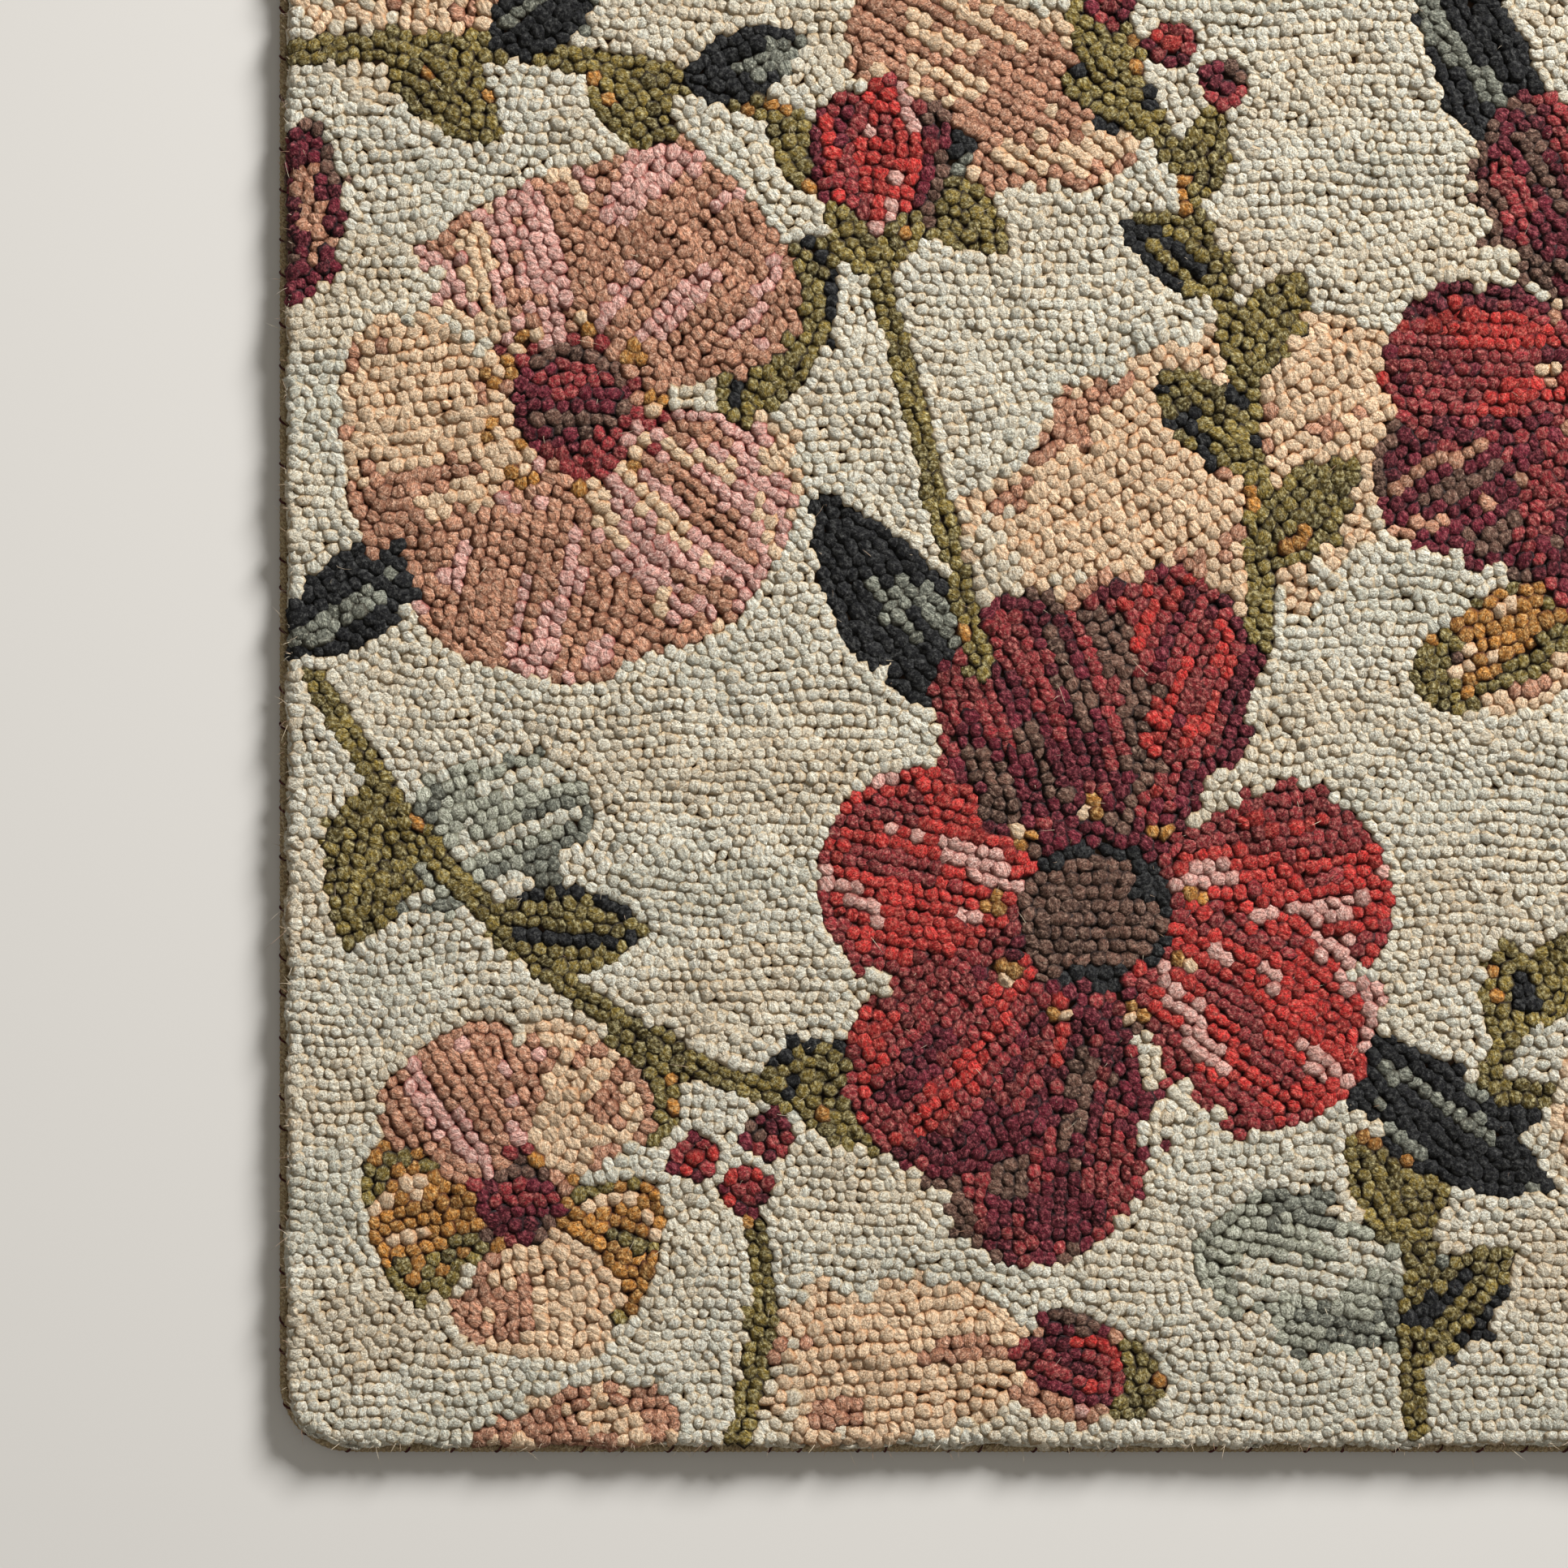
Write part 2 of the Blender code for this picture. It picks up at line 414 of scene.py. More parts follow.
def filling(stroke):
    """Places in rows beside the spine, a pitch apart both ways, each row slid along by luck."""
    t = np.linspace(0, 1, 120)
    run = running(curve(stroke.spine, t))
    steps = max(int(run[-1] / motif_pitch), 1)
    here = np.interp((np.arange(steps) + 0.5) * run[-1] / steps, run, t)
    rows = int(stroke.width / motif_pitch) + 1
    beside = (np.arange(-rows, rows + 1) + dice.uniform(-0.3, 0.3)) * motif_pitch
    way = heading(stroke.spine, here)[0][:, None]
    slide = dice.uniform(-0.5, 0.5, (1, len(beside), 1)) * motif_pitch
    grid = curve(stroke.spine, here)[:, None] + left_of(way) * beside[:, None] + way * slide
    keep = np.abs(beside) < half_width(stroke, here)[:, None]
    return grid[keep], np.broadcast_to(way, grid.shape)[keep]


def ground_rows():
    """Straight rows that wander a little, as a hand lets them. Each starts where luck puts it."""
    x = np.arange(-half_flat[0], half_flat[0], ground_pitch)
    y = np.arange(-half_flat[1], half_flat[1], 0.96 * ground_pitch)
    net = np.stack(np.meshgrid(x, y), -1)
    net[..., 0] += dice.uniform(0, ground_pitch, (len(y), 1))
    net = net.reshape(-1, 2) + dice.normal(0, 0.00035, (net.size // 2, 2))
    wander = np.stack([0.0012 * ripple(net, 0.05, 31), 0.0020 * ripple(net, 0.08, 32)], 1)
    slope = 0.16 * ripple(net, 0.11, 33)
    return net + wander, spokes(slope)


def rim_row():
    """Places along the edge of the flat canvas."""
    line = rounded(half_flat, flat_radius, 52)
    return paced(np.concatenate([line, line[:1]]), 1.08 * ground_pitch)


offers = []
for number, stroke in enumerate(strokes):
    if stroke.cover == 1:
        offers.append((*outline(stroke, -0.5 * motif_pitch), number, 1))
        offers.append((*filling(stroke), number, 2))
        offers.append((*outline(stroke, 0.5 * ground_pitch), -1, 3))
offers.append((*ground_rows(), -1, 4))
places, ways = (np.concatenate([offer[i] for offer in offers]) for i in (0, 1))
sizes = [len(offer[0]) for offer in offers]
meant = np.repeat([offer[2] for offer in offers], sizes)
rank = np.repeat([float(offer[3]) for offer in offers], sizes)

owner = claim(places)[0]
solid = np.array([stroke.cover == 1 for stroke in strokes] + [False])
owner = np.where(solid[owner], owner, -1)
good = (owner == meant) & (inside_edge(places) > 0.55 * ground_pitch)
places, ways, rank = places[good], ways[good], rank[good]
print(len(places), "places offered")

# %% [markdown]
# ## Making room
# Where two rows meet, some offered places lie on top of each other. The better-ranked one stays.
# Then gaps wider than a loop are filled, and all loops push their neighbours away a little, as
# wool does. Neighbours are found with a net of squares, so that no loop has to be compared with
# all the others.

# %% Spacing
def near(places, others, reach, room):
    """The others in each place's own square of a net and the eight round it: their indices, and
    their distances, endless where there is none."""
    low = np.minimum(places.min(0), others.min(0)) - reach
    high = np.maximum(places.max(0), others.max(0))
    row = int((high[1] - low[1]) / reach) + 3
    squares = [((p - low) / reach).astype(int) @ [row, 1] for p in (places, others)]
    order = np.argsort(squares[1], kind="stable")
    keys = squares[1][order]
    around = np.array([row * i + j for i in (-1, 0, 1) for j in (-1, 0, 1)])
    wanted = squares[0][:, None] + around
    slot = np.searchsorted(keys, wanted)[:, :, None] + np.arange(room)
    here = np.minimum(slot, len(keys) - 1)
    found = (slot < len(keys)) & (keys[here] == wanted[:, :, None])
    index = order[here].reshape(len(places), -1)
    distance = np.linalg.norm(places[:, None] - others[index], axis=-1)
    return index, np.where(found.reshape(len(places), -1), distance, np.inf)


def neighbours(places, reach, room):
    """The same among the places themselves, each left out of its own list."""
    index, distance = near(places, places, reach, room)
    distance[index == np.arange(len(places))[:, None]] = np.inf
    return index, distance


def pitch_at(places):
    """How far apart the loops stand at each place."""
    return np.where(claim(places)[0] >= 0, motif_pitch, ground_pitch)


def thinned(places, score, gap):
    """Which places stay, when each one in order of score drops all that lie nearer to it than the
    mean of their two gaps. A place stays once no rival ahead of it is undecided or kept, and goes
    once one is kept."""
    index, distance = neighbours(places, gap.max(), 16)
    rival = (distance < (gap[index] + gap[:, None]) / 2) & (score[index] < score[:, None])
    kept, undecided = np.zeros(len(places), bool), np.ones(len(places), bool)
    while undecided.any():
        ahead = (rival & (undecided | kept)[index]).any(1)
        kept |= undecided & ~ahead
        undecided &= ahead & ~(rival & kept[index]).any(1)
    return kept


most_moved = 0.10 * ground_pitch


def relaxed(places, turns):
    """Places after some turns in which each is pushed away from whatever is nearer than a pitch
    and a fifth, by a share of a pitch. What is pushed over the edge is moved back onto it."""
    pitch = pitch_at(places)
    for _ in range(turns):
        index, distance = neighbours(places, 1.25 * motif_pitch, 8)
        apart = 0.6 * (pitch[index] + pitch[:, None])
        push = np.clip(1 - distance / apart, 0, 1) / np.maximum(distance, 1e-5)
        move = ((places[:, None] - places[index]) * push[..., None]).sum(1) * 0.28 * pitch[:, None]
        places = places + np.clip(move, -most_moved, most_moved)
        places = places + outward(places) * np.minimum(inside_edge(places), 0)[:, None]
    return places


rim, rim_way = rim_row()
places, ways = np.concatenate([rim, places]), np.concatenate([rim_way, ways])
rank = np.concatenate([np.zeros(len(rim)), rank])
kept = thinned(places, rank + 0.5 * dice.random(len(rank)), 0.70 * pitch_at(places))
places, ways = places[kept], ways[kept]

for gap in (0.88, 0.80, 0.76, 0.76):
    x, y = (np.arange(-half, half, 0.4 * ground_pitch) for half in half_flat)
    fine = np.stack(np.meshgrid(x, y), -1).reshape(-1, 2)
    fine += dice.uniform(-0.1, 0.1, fine.shape) * ground_pitch
    fine = fine[inside_edge(fine) > 0]
    free = near(fine, places, gap * motif_pitch, 8)[1].min(1)
    fine, free = fine[free > gap * ground_pitch], free[free > gap * ground_pitch]
    wanted = gap * pitch_at(fine)
    fine, wanted = fine[free > wanted], wanted[free > wanted]
    fine = fine[thinned(fine, dice.random(len(fine)), wanted)]
    index, distance = near(fine, places, 2 * motif_pitch, 12)
    ways = np.concatenate([ways, ways[index[np.arange(len(fine)), distance.argmin(1)]]])
    places = relaxed(np.concatenate([places, fine]), 4)
    print("gaps filled", len(fine), "loops", len(places))

# %% [markdown]
# ## Which yarn goes where
# The colours are wools that a dyer would sell by the skein. A motif is hooked in a mix of them: a
# body, a shade along one side, light streaks that run with the rows, and a darker foot. That
# speckled mixing, one whole loop at a time, is what makes a hooked flower look painted.

# %% Yarns
# body, shade, light, foot, share of light loops
MIXES = {
    "coral": ("coral", "madder", "blush", "madder", 0.20),
    "scarlet": ("madder", "wine", "coral", "wine", 0.28),
    "wine": ("wine", "umber", "madder", "wine", 0.34),
    "plum": ("wine", "umber", "rose", "wine", 0.22),
    "rose": ("rose", "rose", "blush", "madder", 0.26),
    "blush": ("blush", "rose", "peach", "madder", 0.28),
    "peach": ("peach", "rose", "peach", "gold", 0.15),
    "sand": ("peach", "peach", "oatmeal", "peach", 0.35),
    "gold": ("gold", "olive", "peach", "umber", 0.12),
    "pollen": ("gold", "gold", "peach", "gold", 0.20),
    "olive": ("olive", "olive", "gold", "olive", 0.06),
    "moss": ("olive", "charcoal", "olive", "olive", 0.10),
    "night": ("charcoal", "charcoal", "slate", "charcoal", 0.28),
    "heart": ("umber", "charcoal", "umber", "umber", 0.20),
    "mist": ("mist", "slate", "stone", "mist", 0.30),
    "haze": ("peach", "peach", "rose", "oatmeal", 0.14),
    "dusk": ("rose", "peach", "peach", "rose", 0.20),
}


def chosen_yarns(places):
    """The yarn of each loop. In the ground a slow ripple and luck choose among four pale wools.
    On a stroke a ripple drawn out along the rows ranks the loops, and shares of the ranking turn
    light or dark."""
    owner, along, across = claim(places)
    luck = dice.normal(size=len(places))
    shade = ripple(places, 0.11, 51) + 0.5 * luck
    yarn = np.select([shade > 0.95, shade < -0.95, shade > 0], ["oatmeal", "stone", "ivory"], "cream")
    yarn = yarn.astype("<U8")
    for number in np.unique(owner[owner >= 0]):
        stroke = strokes[number]
        body, dark, light, foot, share = MIXES[stroke.yarns]
        mine = np.flatnonzero(owner == number)
        t, side = along[mine], across[mine]
        length = np.linalg.norm(stroke.spine[2] - stroke.spine[0])
        drawn_out = np.stack([side * stroke.width / 0.024, t * length / 0.11], 1)
        streak = ripple(drawn_out, 1.0, 100 + number) + 0.15 * luck[mine]
        order = streak.argsort().argsort() / max(len(mine) - 1, 1)
        turned = side * (1 if number % 2 else -1) > 0.74
        yarn[mine] = np.select(
            [t < 0.17 + 0.06 * luck[mine], turned | (order < 0.18), order > 1 - share],
            [foot, dark, light], body)
    return yarn


yarns = chosen_yarns(places)
names, counts = np.unique(yarns, return_counts=True)
print(len(places), "loops:", dict(zip(names.tolist(), counts.tolist())))

# %% [markdown]
# ## How a loop stands
# A loop has a crown on top of the pile and its foot in the canvas. Hand work is uneven, so each
# crown sits a little high or low and leans its own way. Over the flat a crown looks up. At the
# rim the flat canvas is bent round the roll, and a crown there looks outwards by its angle.

# %% Stance
def pile_height(places):
    """The top of the pile: its highest level less a shallow crossed wave, as in the solid."""
    x, y = places.T
    wave = np.sin(np.pi * (x + 0.72 * y) / 0.19) * np.cos(np.pi * (y - 0.72 * x) / 0.27)
    return pile_top - 0.0008 * (1 - wave) / 2


def swells(places):
    """Soft rises and hollows a few rows wide, where the hand pulled loops a little high or low."""
    return 0.00032 * ripple(places, 0.026, 41) + 0.00050 * ripple(places, 0.052, 42)


# How deep a motif's edge lies, how full a loop is, and how far luck tilts and sinks it
seam_depth, plump, tilted, sunk = 0.0005, 1.38, 0.08, 0.00038
# How far the edge is drawn in, its waves and its luck, and how far a loop may stand out at most
drawn_in, drawn_wave, drawn_luck, pushed_out = 0.0010, 0.0013, 0.0005, 0.0003
count = len(places)
pitch = pitch_at(places)
distance = neighbours(places, 1.5 * motif_pitch, 8)[1]
room = np.sort(distance, 1)[:, :4].mean(1) / 2
room = plump * np.clip(room, 0.45 * pitch, 0.62 * pitch)

out = outward(places)
run = np.maximum(rolled_over - inside_edge(places), 0)
roll = run / rim_roll
room *= 1 - 0.15 * np.sin(roll)
edge_drawn = np.maximum(drawn_in + drawn_wave * ripple(places, 0.036, 61), -pushed_out)
edge_drawn += np.abs(dice.normal(0, drawn_luck, count))
moved = rim_roll * np.sin(roll) - run - edge_drawn * np.sin(roll)
crown = np.column_stack([places + out * moved[:, None], pile_height(places)])
crown[:, 2] -= rim_roll * (1 - np.cos(roll)) + np.abs(dice.normal(0, sunk, count))
crown[:, 2] += swells(places) - seam_depth * np.abs(claim(places)[2]) ** 5
steps = 0.0005 * np.eye(2)
slope = np.stack([swells(places + step) - swells(places - step) for step in steps], 1) / 0.001
up = np.column_stack([out * np.sin(roll)[:, None] - slope, np.cos(roll)])
up += dice.normal(0, tilted, (count, 3))
up /= np.linalg.norm(up, axis=1, keepdims=True)
spin = dice.normal(0, 0.55, count)
along = np.column_stack([ways[:, 0] * np.cos(spin) - ways[:, 1] * np.sin(spin),
                         ways[:, 0] * np.sin(spin) + ways[:, 1] * np.cos(spin), np.zeros(count)])
along -= up * (along * up).sum(1, keepdims=True)
along /= np.linalg.norm(along, axis=1, keepdims=True)
aside = np.cross(up, along)

rim_foot, rim_tuck, rooted = 0.0030, 0.0006, 0.0002
foot = np.column_stack([places - out * (run + rim_tuck * (run > 0))[:, None],
                        np.where(run > 0, rim_foot, canvas_thickness - rooted)])
lowest, highest = (1000 * crown[:, 2].min()).round(1), (1000 * crown[:, 2].max()).round(1)
print("loops stand", lowest, "to", highest, "mm high")

# %% [markdown]
# ## The shape of one loop
# Seen from above a loop is a small pillow with rounded corners, a little longer than wide, and
# often bent like a bean. It is made of rings: a crown point, a shoulder, a belly where it touches
# its neighbours, and a point down in the canvas. Six corners a ring are enough for something
# five millimetres wide, and smooth shading rounds them. All loops of one yarn are one mesh.

# %% Loop meshes
corners_round = 6
shoulder_share, shoulder_drop, belly_drop = 0.57, 0.00020, 0.0014
least_height = 0.0003


def loop_points(which):
    """Points of some loops, as an array of loops by points: crown, shoulder ring, belly ring, foot.
    A ring is a squarish oval, r = (|cos|^p + |sin|^p)^(-1/p), bent sideways by the square of its
    length, with every point moved in or out a little. Finer loops are also shallower."""
    n = len(which)
    depth = pitch[which, None] / motif_pitch
    angle = 2 * np.pi * (np.arange(corners_round) + dice.random((n, 1))) / corners_round
    power = dice.uniform(2.1, 3.0, (n, 1))
    r = (np.abs(np.cos(angle)) ** power + np.abs(np.sin(angle)) ** power) ** (-1 / power)
    long, wide = (room[which, None] * dice.normal(mean, 0.13, (n, 1)) for mean in (1.12, 0.99))
    bend = dice.normal(0, 0.20, (n, 1))
    rings = []
    for share, drop in ((shoulder_share, shoulder_drop), (1.0, belly_drop)):
        uneven = 1 + dice.normal(0, 0.08, angle.shape)
        x = share * uneven * r * np.cos(angle)
        y = share * uneven * r * np.sin(angle) + bend * (x**2 - 0.4)
        z = -drop * depth * dice.normal(1, 0.25, angle.shape)
        rings.append((crown[which, None] + along[which, None] * (x * long)[..., None]
                      + aside[which, None] * (y * wide)[..., None] + up[which, None] * z[..., None]))
    slip = [dice.normal(0, most, (n, 1)) for most in (0.18, 0.14)]
    tip = crown[which] + (along[which] * slip[0] + aside[which] * slip[1]) * long
    points = np.concatenate([tip[:, None], *rings, foot[which, None]], 1)
    points[..., 2] = np.maximum(points[..., 2], least_height)
    return points


def closed_tube(rings, sides):
    """Corners and face sizes of a closed tube: a first point, rings of points, and a last point.
    A fan joins each end to its ring, and quads join each ring to the next."""
    k = np.arange(sides)
    after = (k + 1) % sides
    ring = 1 + sides * np.arange(rings)[:, None]
    start = np.stack([0 * k, 1 + k, 1 + after], 1)
    walls = np.stack([ring[:-1] + k, ring[1:] + k, ring[1:] + after, ring[:-1] + after], -1)
    end = np.stack([0 * k + ring[-1] + sides, ring[-1] + after, ring[-1] + k], 1)
    corners = np.concatenate([part.ravel() for part in (start, walls, end)])
    return corners, np.repeat([3, 4, 3], [sides, sides * (rings - 1), sides])


def surface(name, points, corners, sizes):
    """A smooth mesh object from points, all faces' corners end to end, and each face's count."""
    mesh = bpy.data.meshes.new(name)
    mesh.vertices.add(len(points))
    mesh.vertices.foreach_set("co", np.asarray(points, np.float32).ravel())
    mesh.loops.add(len(corners))
    mesh.loops.foreach_set("vertex_index", np.asarray(corners, np.int32))
    mesh.polygons.add(len(sizes))
    starts = np.concatenate([[0], np.cumsum(sizes)[:-1]])
    mesh.polygons.foreach_set("loop_start", starts.astype(np.int32))
    mesh.update(calc_edges=True)
    mesh.shade_smooth()
    piece = bpy.data.objects.new(name, mesh)
    bpy.context.scene.collection.objects.link(piece)
    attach(piece, "root")
    return piece


def copies(name, points, one, sizes):
    """One mesh of many like shapes, from shapes by points. The corners and the face sizes of the
    first one serve for all."""
    n, each = points.shape[:2]
    corners = one + each * np.arange(n)[:, None]
    return surface(name, points.reshape(-1, 3), corners.ravel(), np.tile(sizes, n))


def give(piece, name, values):
    """Stores one value for each point of a piece, under a name that its material reads."""
    layer = piece.data.attributes.new(name, "FLOAT", "POINT")
    layer.data.foreach_set("value", np.asarray(values, np.float32).ravel())


def lay_map(piece, name, places):
    """Stores a flat map: one place for each corner of each face."""
    layer = piece.data.uv_layers.new(name=name)
    layer.uv.foreach_set("vector", np.asarray(places, np.float32).ravel())


# %% [markdown]
# ## Two flat maps
# The yarn's twist has to follow the loop, so each loop gets a map called yarn, in millimetres
# along and across the loop. A second map gives every loop a square of its own, with its crown in
# the middle, its rings round it and its foot spread out like a star, so that nothing overlaps
# when the finish is baked for other programs.

# %% Loops of one yarn
one_loop, one_sizes = closed_tube(2, corners_round)
one_count = 2 + 2 * corners_round
turns = 2 * np.pi * np.arange(corners_round) / corners_round
middle = np.zeros((1, 2))
star = np.concatenate([middle, 0.44 * spokes(turns), 0.78 * spokes(turns), middle])[one_loop]
star[-3 * corners_round::3] = 0.96 * spokes(turns + np.pi / corners_round)
# How much painted shade each point of a loop gets: none at the crown, some at the shoulder, all at the
# belly and foot
one_painted_shade = np.concatenate([[0], np.full(corners_round, 0.34), np.ones(corners_round + 1)])


def loops_of(yarn):
    """All loops of a yarn as one mesh, with its two maps and, for each point, how much painted shade
    it gets deep in the pile and the tone of its loop."""
    which = np.flatnonzero(yarns == yarn)
    n = len(which)
    points = loop_points(which)
    piece = copies(yarn + "_loops", points, one_loop, one_sizes)
    off = points - crown[which, None]
    flat = np.stack([(off * along[which, None]).sum(-1), (off * aside[which, None]).sum(-1)], -1)
    flat = 1000 * flat + dice.uniform(0, 60, (n, 1, 2))
    lay_map(piece, "yarn", flat[:, one_loop])
    side = int(np.ceil(np.sqrt(n)))
    cell = np.stack([np.arange(n) % side, np.arange(n) // side], 1)[:, None]
    lay_map(piece, "OFBake", (cell + 0.5 + 0.5 * star) / side)
    tone = np.clip(0.5 + 0.26 * dice.normal(size=n) + 0.14 * ripple(places[which], 0.06, 77), 0, 1)
    give(piece, "tone", np.repeat(tone, one_count))
    # The painted shade is weaker at the rim, where the rolled loops open out to the light
    give(piece, "painted_shade", np.outer(1 - 0.6 * np.sin(roll[which]), one_painted_shade))
    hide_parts("hooked_field")
    return piece


loop_pieces = {yarn: loops_of(yarn) for yarn in names.tolist()}
print("largest piece", counts.max(), "loops,", (one_sizes - 2).sum() * counts.max(), "triangles")

# %% [markdown]
# ## Wool
# Wool yarn is matt, with a soft sheen where fibres stand off it. Two plies twist round each
# other, so slanting ridges cross each loop, and fine streaks of lighter and darker fibre run
# with the twist. Dyed wool is never one colour: loops differ in tone, and odd flecks of another
# fibre show. Shade deep between the loops and in the ply's grooves is painted into the colour.
# One function makes this finish for any yarn.

# %% Node helpers
# put adds a node of any kind. blend, noise and spread use it, and return what comes out
def linear(colour):
    """A colour from 0 to 255 as the eye counts, turned to the linear scale that light adds up in."""
    c = np.array(colour) / 255
    return (*np.where(c <= 0.04045, c / 12.92, ((c + 0.055) / 1.055) ** 2.4), 1.0)


def new_finish(name, roughness, sheen):
    """A material with its shader's own values set, ready for nodes that feed colour and relief."""
    finish = bpy.data.materials.new(name)
    finish.use_nodes = True
    shader = finish.node_tree.nodes["Principled BSDF"]
    shader.inputs["Roughness"].default_value = roughness
    shader.inputs["Specular IOR Level"].default_value = 0.15
    shader.inputs["Sheen Weight"].default_value = sheen
    shader.inputs["Sheen Roughness"].default_value = 0.45
    return finish, finish.node_tree, shader


def put(tree, kind, sockets=None, **settings):
    """Adds a node. A socket takes a value, or the output of another node."""
    made = tree.nodes.new("ShaderNode" + kind)
    for key, value in settings.items():
        setattr(made, key, value)
    for key, value in (sockets or {}).items():
        if isinstance(value, bpy.types.NodeSocket):
            tree.links.new(value, made.inputs[key])
        else:
            made.inputs[key].default_value = value
    return made


def blend(tree, share, a, b, way="MIX"):
    """Two colours mixed by a share, or multiplied."""
    mix = put(tree, "Mix", data_type="RGBA", blend_type=way)
    for socket, value in ((0, share), (6, a), (7, b)):
        if isinstance(value, bpy.types.NodeSocket):
            tree.links.new(value, mix.inputs[socket])
        else:
            mix.inputs[socket].default_value = value
    return mix.outputs[2]


def noise(tree, vector, scale, detail, roughness):
    """Soft random patches, mostly from 0.3 to 0.7."""
    sockets = {"Vector": vector, "Scale": scale, "Detail": detail, "Roughness": roughness}
    return put(tree, "TexNoise", sockets).outputs[0]


def raise_relief(tree, shader, height, strength, distance):
    """Feeds a height to the shader as relief."""
    bump = put(tree, "Bump", {"Strength": strength, "Distance": distance, "Height": height})
    tree.links.new(bump.outputs[0], shader.inputs["Normal"])


def spread(tree, value, low, high, to_low=0.0, to_high=1.0):
    """A value carried from one range to another, and held inside it."""
    sockets = {"Value": value, "From Min": low, "From Max": high, "To Min": to_low, "To Max": to_high}
    return put(tree, "MapRange", sockets).outputs[0]


# %% Wool finish
def wool(name, body, fleck, shade, contrast):
    """The finish of a yarn: its body colour, light or dark by the loop's tone, then flecks, streaks
    of the shade colour, fine variation that multiplies with painted shade in the ply's grooves,
    and painted shade between the loops."""
    finish, tree, shader = new_finish(name, 0.95, 0.05)
    flat = put(tree, "UVMap", uv_map="yarn").outputs[0]
    slant = put(tree, "Mapping", {"Vector": flat, "Rotation": (0, 0, 0.65)}).outputs[0]
    wave = {"Vector": slant, "Scale": 0.12, "Distortion": 2.5, "Detail": 1.0}
    ply = put(tree, "TexWave", wave).outputs[1]
    drawn = put(tree, "Mapping", {"Vector": slant, "Scale": (2.0, 0.6, 1.0)}).outputs[0]
    fibre = noise(tree, drawn, 1.0, 4.0, 0.75)
    odd = noise(tree, flat, 0.55, 3.0, 0.6)
    mottle = noise(tree, flat, 0.9, 3.0, 0.7)
    tone = put(tree, "Attribute", attribute_name="tone").outputs["Fac"]
    painted_shade = put(tree, "Attribute", attribute_name="painted_shade").outputs["Fac"]
    c = np.array(linear(body))
    light = (*np.clip(c[:3] * (1 + 0.8 * contrast), 0, 1), 1.0)
    dark = (*(c[:3] * (1 - 1.4 * contrast)), 1.0)
    colour = blend(tree, tone, dark, light)
    colour = blend(tree, spread(tree, odd, 0.45, 0.66, 0.0, 0.85), colour, linear(fleck))
    colour = blend(tree, spread(tree, fibre, 0.38, 0.53, 0.78, 0.0), colour, linear(shade))
    # Fibre and mottle vary the colour at random; the ply's grooves get a little painted shade
    for value, *ranges in ((fibre, 0.40, 0.62, 0.82, 1.14), (mottle, 0.37, 0.63, 0.80, 1.12),
                           (ply, 0.0, 0.5, 0.92, 1.0)):
        colour = blend(tree, 1.0, colour, spread(tree, value, *ranges), "MULTIPLY")
    # Painted shade: the shade colour is mixed in where a point lies deep between the loops
    colour = blend(tree, spread(tree, painted_shade, 0.36, 0.90), colour, linear(shade))
    tree.links.new(colour, shader.inputs["Base Color"])
    height = put(tree, "Math", {0: ply, 1: 0.6, 2: fibre}, operation="MULTIPLY_ADD").outputs[0]
    height = put(tree, "Math", {0: mottle, 1: 2.0, 2: height}, operation="MULTIPLY_ADD").outputs[0]
    raise_relief(tree, shader, height, 0.9, 0.0010)
    return finish


# body, flecks, a dark shade for fibre streaks and for the painted shade deep between the loops,
# and how far loops differ in tone
WOOLS = {
    "cream": ((225, 224, 210), (222, 213, 192), (192, 170, 136), 0.08),
    "ivory": ((228, 223, 205), (222, 210, 186), (189, 166, 131), 0.08),
    "oatmeal": ((223, 214, 193), (212, 195, 168), (184, 158, 122), 0.08),
    "stone": ((217, 217, 202), (206, 199, 180), (180, 161, 129), 0.09),
    "mist": ((184, 185, 166), (216, 214, 196), (98, 94, 74), 0.22),
    "slate": ((124, 126, 114), (188, 188, 170), (62, 58, 46), 0.34),
    "charcoal": ((28, 28, 30), (88, 88, 86), (8, 8, 8), 0.42),
    "umber": ((112, 80, 67), (172, 140, 122), (38, 22, 16), 0.42),
    "olive": ((132, 112, 52), (204, 192, 144), (38, 26, 7), 0.46),
    "gold": ((192, 129, 58), (236, 192, 128), (86, 42, 13), 0.42),
    "peach": ((234, 203, 168), (238, 217, 187), (192, 144, 102), 0.16),
    "rose": ((200, 144, 114), (234, 192, 164), (112, 63, 40), 0.28),
    "blush": ((226, 172, 158), (238, 206, 194), (150, 84, 74), 0.22),
    "coral": ((200, 53, 49), (230, 120, 106), (86, 9, 10), 0.38),
    "madder": ((154, 50, 54), (208, 128, 118), (58, 9, 12), 0.42),
    "wine": ((102, 28, 42), (176, 92, 98), (22, 4, 7), 0.48),
}
for yarn, piece in loop_pieces.items():
    piece.data.materials.append(wool(yarn + "_wool", *WOOLS[yarn]))
print(len(WOOLS), "wools dyed")

# %% [markdown]
# ## The canvas
# The loops are hooked through a plain woven canvas. Only glimpses of it show between loops, and
# its back is the underside of the rug. It is one flat sheet whose two faces are rings of points,
# joined round the edge, and its weave is relief, two crossed waves, with painted shade between
# the threads.

# %% Canvas
def closed_sheet(name, half, radius, low, high, rings=24):
    """A flat sheet with rounded corners, as a very flat closed tube: from a point in the middle of
    the top the rings grow to the edge, and then they shrink again under the bottom."""
    edge = rounded(half, radius, 180)
    share = np.linspace(0, 1, rings)[1:]
    share = np.concatenate([share, share[::-1]])[:, None, None]
    height = np.repeat([high, low], rings - 1)[:, None, None]
    walls = np.concatenate([share * edge, height + 0 * share * edge[:, :1]], -1)
    points = np.concatenate([[[0, 0, high]], walls.reshape(-1, 3), [[0, 0, low]]])
    return surface(name, points, *closed_tube(len(share), len(edge)))


